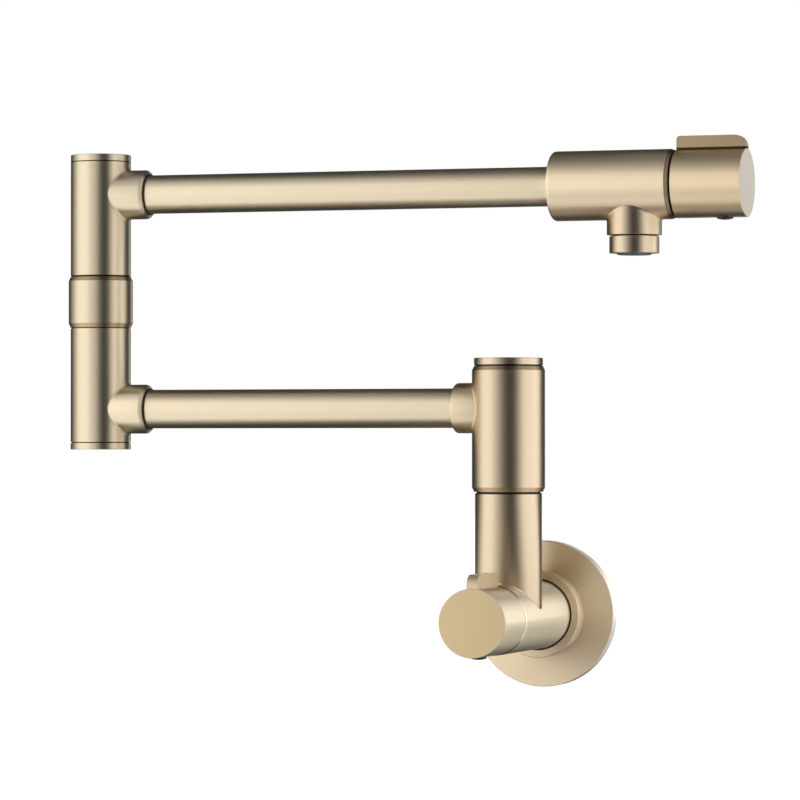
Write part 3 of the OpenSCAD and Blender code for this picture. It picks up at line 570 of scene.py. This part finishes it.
def saddle_fillet(name, body, radii, axes, origin, material, sleeve=None):
    """Rolling ball fillet between a barrel and a branch that leaves it at right angles.

    radii are the barrel's, the branch's and the ball's. axes are the directions along the branch, along the
    barrel and square to both, and origin is where the two axes meet. sleeve, if there is one, holds how far
    the branch reaches and the radius of its rounded end: the fillet then runs on as a thin skin over it.
    """
    barrel_r, branch_r, ball_r = radii
    outline = [] if sleeve is None else sleeve_outline(branch_r, *sleeve)
    last_reach = ball_r * (1 + SUNK_SHARE) if sleeve is None else ball_r - SLEEVE_SKIN
    vertices = []
    for i in range(SADDLE_STEPS):
        angle = 2 * math.pi * i / SADDLE_STEPS
        column = fillet_arc(angle, barrel_r, branch_r, ball_r, last_reach)
        column += [Vector((along, out * math.cos(angle), out * math.sin(angle))) for along, out in outline]
        for point in column:
            vertices.append(origin + axes[0] * point.x + axes[1] * point.y + axes[2] * point.z)
    rows = len(column)
    faces = []
    for i in range(SADDLE_STEPS):
        this, following = i * rows, (i + 1) % SADDLE_STEPS * rows
        for k in range(rows - 1):
            faces.append((this + k, following + k, following + k + 1, this + k + 1))
    piece = new_object(name, vertices, faces, material)
    for polygon in piece.data.polygons:
        polygon.use_smooth = True
    first_face = piece.data.polygons[0]
    if first_face.normal.dot(first_face.center - origin) < 0:
        piece.data.flip_normals()
    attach(piece, body)


# Where a branch's axis meets its barrel's. At the shoulder and the upper elbow that is the joint's own place.
riser_foot = Vector((0, shoulder.y, 0))
lower_elbow = Vector((elbow.x, elbow.y, lower_arm_z))
skirt_top = Vector((aerator_axis.x, aerator_axis.y, upper_arm_z))

RISER_AXES = (Z_AXIS, Y_AXIS, X_AXIS)
ARM_AXES = (X_AXIS, Z_AXIS, Y_AXIS)
SHOULDER_AXES = (-X_AXIS, Z_AXIS, Y_AXIS)
SKIRT_AXES = (-Z_AXIS, X_AXIS, Y_AXIS)

saddle_fillet("shoulder_socket_fillet", "lower_arm", (shoulder_r, socket_r, SHOULDER_FILLET), SHOULDER_AXES,
              shoulder, GOLD["shoulder_barrel"],
              (shoulder.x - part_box("shoulder_barrel")[0].x, SOCKET_ROUND))
saddle_fillet("lower_elbow_socket_fillet", "lower_arm", (elbow_r, socket_r, ELBOW_FILLET), ARM_AXES,
              lower_elbow, GOLD["elbow_lower_barrel"],
              (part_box("elbow_lower_barrel")[1].x - elbow.x, SOCKET_ROUND))
saddle_fillet("upper_elbow_socket_fillet", "upper_arm", (elbow_r, socket_r, ELBOW_FILLET), ARM_AXES,
              elbow, GOLD["elbow_upper_barrel"],
              (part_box("elbow_upper_barrel")[1].x - elbow.x, SOCKET_ROUND))
saddle_fillet("spout_skirt_fillet", "upper_arm", (valve_r, skirt_r, SKIRT_FILLET), SKIRT_AXES,
              skirt_top, GOLD["spout_valve_body"], (upper_arm_z - skirt_end, SHARP_ROUND))
saddle_fillet("riser_saddle_fillet", "wall_valve", (valve_r, riser_r, RISER_FILLET), RISER_AXES,
              riser_foot, GOLD["riser"], (riser_top, SHARP_ROUND))
saddle_fillet("riser_bead", "wall_valve", (valve_r, riser_r, RISER_BEAD), RISER_AXES,
              riser_foot, GOLD["riser_bead"])


# Camera, solved from the photograph

CAMERA_PLACE = Vector((0.60586, -2.12860, 0.08970))
CAMERA_AZIMUTH = math.radians(17.931)
CAMERA_PITCH = math.radians(0.652)

camera_data = bpy.data.cameras.new("camera")
camera_data.sensor_width = 36.0
camera_data.lens = 184.57
camera_data.clip_start = 0.05
camera_data.clip_end = 60.0
camera = bpy.data.objects.new("camera", camera_data)
bpy.context.scene.collection.objects.link(camera)
look = Vector((-math.sin(CAMERA_AZIMUTH) * math.cos(CAMERA_PITCH),
               math.cos(CAMERA_AZIMUTH) * math.cos(CAMERA_PITCH),
               math.sin(CAMERA_PITCH)))
camera.location = CAMERA_PLACE
camera.rotation_mode = "QUATERNION"
camera.rotation_quaternion = look.to_track_quat("-Z", "Y")
bpy.context.scene.camera = camera


# Stage: a pale floor, a white world and a black tent that only reflections see

FLOOR_Z = -0.45
FLOOR_HALF = 30
FLOOR_GREY, FLOOR_PALE = (0.78, 0.78, 0.78), (0.82, 0.82, 0.82)
FLOOR_CLOUD = 3.0
FLOOR_GLOW = 0.5
WORLD_LIGHT, WORLD_SEEN = 0.75, 1.0
WHITE = (1.0, 1.0, 1.0)
STAGE_CENTRE = Vector((-0.05, -0.072, 0.12))

TENT_RADIUS = 0.95
TENT_FLOOR_GAP = 10 * MM
TENT_RINGS, TENT_SECTORS = 24, 48
TENT_CLOTH = (0.05, 0.052, 0.056)

# The tent's windows in degrees, azimuth 0 towards -Y and 90 towards +X: where each begins, its soft edge,
# where it ends and its soft edge. The window behind begins to open at the first azimuth and is open at the
# second.
LEFT_WINDOW = (-95, 24, -14, 32)
RIGHT_WINDOW = (54, 18, 131, 7)
WINDOW_HEIGHT = (-62, 22, 62, 24)
BACK_WINDOW = (170, 180)
BACK_WINDOW_HEIGHT = (-20, 10, 20, 10)


def floor_material():
    """Matt grey that glows a little where it is seen, and not in the light that it gives."""
    material, shader = new_material("pale_floor")
    tone = shader.spread(shader.noise(shader.coordinate("Object"), FLOOR_CLOUD, detail=2.0))
    matt = shader.add("ShaderNodeBsdfDiffuse")
    shader.put(matt.inputs["Color"], shader.mix("RGBA", tone, rgba(FLOOR_GREY), rgba(FLOOR_PALE)))
    glow = shader.add("ShaderNodeEmission")
    shader.put(glow.inputs["Strength"], shader.math("MULTIPLY", shader.seen_plainly(), FLOOR_GLOW))
    shader.combine("ShaderNodeAddShader", matt, glow)
    return material


def tent_material():
    """Black cloth with soft windows to the left, to the right and behind, where the white studio shows."""
    material, shader = new_material("black_tent")
    direction = shader.add("ShaderNodeSeparateXYZ")
    shader.put(direction.inputs[0], shader.vector("NORMALIZE", shader.coordinate("Object")))
    x, y, z = direction.outputs
    azimuth = shader.math("DEGREES", shader.math("ARCTAN2", x, shader.math("MULTIPLY", y, -1.0)))
    elevation = shader.math("DEGREES", shader.math("ARCSINE", z))
    sides = shader.math("ADD", shader.window(azimuth, *LEFT_WINDOW), shader.window(azimuth, *RIGHT_WINDOW))
    side_windows = shader.math("MULTIPLY", sides, shader.window(elevation, *WINDOW_HEIGHT))
    behind = shader.soft_step(shader.math("ABSOLUTE", azimuth), *BACK_WINDOW)
    back_window = shader.math("MULTIPLY", behind, shader.window(elevation, *BACK_WINDOW_HEIGHT))
    cloth = shader.add("ShaderNodeEmission")
    cloth.inputs["Color"].default_value = rgba(TENT_CLOTH)
    opening = shader.add("ShaderNodeBsdfTransparent")
    shader.combine("ShaderNodeMixShader", cloth, opening, shader.math("ADD", side_windows, back_window))
    return material


def floor():
    """Wide card below the object, far enough down for no shadow to fall in the photo's view."""
    corners = [(x * FLOOR_HALF, y * FLOOR_HALF, FLOOR_Z) for x, y in ((-1, -1), (1, -1), (1, 1), (-1, 1))]
    card = new_object("floor", corners, [(0, 1, 2, 3)], floor_material())


def tent():
    """Closed tent round the object, which only reflections see: a sphere whose bottom lies flat."""
    bottom = FLOOR_Z + TENT_FLOOR_GAP - STAGE_CENTRE.z
    vertices = []
    for i in range(TENT_RINGS + 1):
        down = math.pi * i / TENT_RINGS
        out = TENT_RADIUS * math.sin(down)
        height = max(TENT_RADIUS * math.cos(down), bottom)
        for j in range(TENT_SECTORS):
            turn = 2 * math.pi * j / TENT_SECTORS
            vertices.append((out * math.cos(turn), out * math.sin(turn), height))
    faces = []
    for i in range(TENT_RINGS):
        above, below = i * TENT_SECTORS, (i + 1) * TENT_SECTORS
        for j in range(TENT_SECTORS):
            k = (j + 1) % TENT_SECTORS
            faces.append((above + j, below + j, below + k, above + k))
    cloth = new_object("black_tent", vertices, faces, tent_material())
    cloth.location = STAGE_CENTRE
    cloth.visible_camera = False
    cloth.visible_diffuse = False
    cloth.visible_shadow = False
    cloth.visible_transmission = False


def white_world():
    """White where it is seen, and a little darker in the light that it gives."""
    world = bpy.data.worlds.new("studio")
    bpy.context.scene.world = world
    shader = Shader(world, "ShaderNodeOutputWorld")
    seen = shader.seen_plainly()
    light = shader.add("ShaderNodeBackground")
    backdrop = shader.add("ShaderNodeBackground")
    for background, strength in ((light, WORLD_LIGHT), (backdrop, WORLD_SEEN)):
        background.inputs["Color"].default_value = rgba(WHITE)
        background.inputs["Strength"].default_value = strength
    shader.combine("ShaderNodeMixShader", light, backdrop, seen)


floor()
tent()
white_world()


# Lamps

def around(azimuth, distance, height=0.0):
    """Place from the middle of the stage, azimuth 0 towards -Y and 90 towards +X."""
    angle = math.radians(azimuth)
    return Vector((math.sin(angle) * distance, -math.cos(angle) * distance, height))


def softbox(name, place, width, tall, radiance, receivers=None, direction=None):
    """Area lamp on the whole object, or only on the receivers.

    It looks at the middle of the stage, or in a direction.
    """
    lamp = bpy.data.lights.new(name, "AREA")
    lamp.shape = "RECTANGLE"
    lamp.size = width
    lamp.size_y = tall
    lamp.energy = radiance * math.pi * width * tall
    box = bpy.data.objects.new(name, lamp)
    box.location = STAGE_CENTRE + place
    box.rotation_mode = "QUATERNION"
    box.rotation_quaternion = (-place if direction is None else direction).to_track_quat("-Z", "Y")
    box.visible_camera = False
    bpy.context.scene.collection.objects.link(box)
    if receivers is not None:
        group = bpy.data.collections.new(name + "_receivers")
        for receiver in receivers:
            group.objects.link(nodes[receiver] if receiver in nodes else bpy.data.objects[receiver])
        box.light_linking.receiver_collection = group


# What the lamps are linked to. A fillet's skin covers its socket, skirt or riser, which is lit with it.
TUBES = ("lower_arm_tube", "upper_arm_tube", "shoulder_socket_fillet", "lower_elbow_socket_fillet")
UPPER_SOCKET = ("upper_elbow_socket_fillet",)
SPOUT = ("spout_valve_body", "spout_handle_shell")
SKIRT = ("spout_skirt_fillet", "aerator_housing")
ELBOW = ("elbow_lower_barrel", "elbow_upper_barrel", "elbow_collar", "elbow_top_cap", "elbow_bottom_cap")
MAIN_HANDLE = ("main_handle_shell", "main_handle_lever")
WALL_VALVE = ("wall_flange", "main_valve_body") + MAIN_HANDLE
SHOULDER = ("shoulder_barrel", "shoulder_cap", "riser_saddle_fillet")
FRONT = TUBES + UPPER_SOCKET + SPOUT + MAIN_HANDLE + ("wall_flange", "spout_handle_lever")

softbox("left_softbox", around(-58, 0.87, 0.08), width=0.8, tall=1.03, radiance=0.29)
softbox("right_softbox", around(88, 0.87, 0.08), width=0.8, tall=0.95, radiance=0.21)
softbox("front_softbox", around(-20, 0.87), width=0.87, tall=1.5, radiance=0.64, receivers=FRONT)
softbox("high_softbox", around(-20, 0.8, 0.45), width=1.2, tall=1.3, radiance=0.42, receivers=TUBES + SPOUT)
softbox("spout_softbox", around(-18, 0.8, 0.15), width=1.4, tall=1.5, radiance=0.40, receivers=SPOUT)
softbox("elbow_softbox", around(-10, 0.87, 0.05), width=0.38, tall=1.0, radiance=0.23, receivers=ELBOW)
softbox("tube_softbox", around(-20, 0.8, -0.28), width=1.0, tall=0.4, radiance=0.20, receivers=TUBES)
softbox("edge_softbox", around(122, 0.85, 0.12), width=0.5, tall=0.9, radiance=0.30,
        receivers=WALL_VALVE + SHOULDER)
softbox("strip_softbox", around(140, 0.8, 0.035), width=1.15, tall=0.42, radiance=0.87, receivers=WALL_VALVE)
softbox("crown_softbox", around(167, 0.55, 0.62), width=0.5, tall=0.5, radiance=0.9, receivers=WALL_VALVE)
softbox("bead_softbox", around(-20, 0.8, 0.40), width=1.2, tall=1.3, radiance=0.8, receivers=("riser_bead",))
softbox("flange_softbox", around(10, 0.85), width=0.5, tall=0.4, radiance=0.8, receivers=("wall_flange",))
softbox("flange_low_softbox", around(-6, 0.53, -0.53), width=0.28, tall=0.5, radiance=0.74,
        receivers=("wall_flange",))
softbox("skirt_softbox", around(137, 0.8, 0.05), width=0.7, tall=1.0, radiance=0.30, receivers=SKIRT)
softbox("end_softbox", around(156, 0.85, 0.16), width=0.5, tall=0.5, radiance=0.9,
        receivers=("spout_handle_shell",))
softbox("floor_softbox", Vector((-0.25, -0.55, -0.55)), width=1.3, tall=0.75, radiance=0.5,
        receivers=TUBES + UPPER_SOCKET + SPOUT, direction=Z_AXIS)

bpy.context.scene.view_settings.view_transform = "Standard"
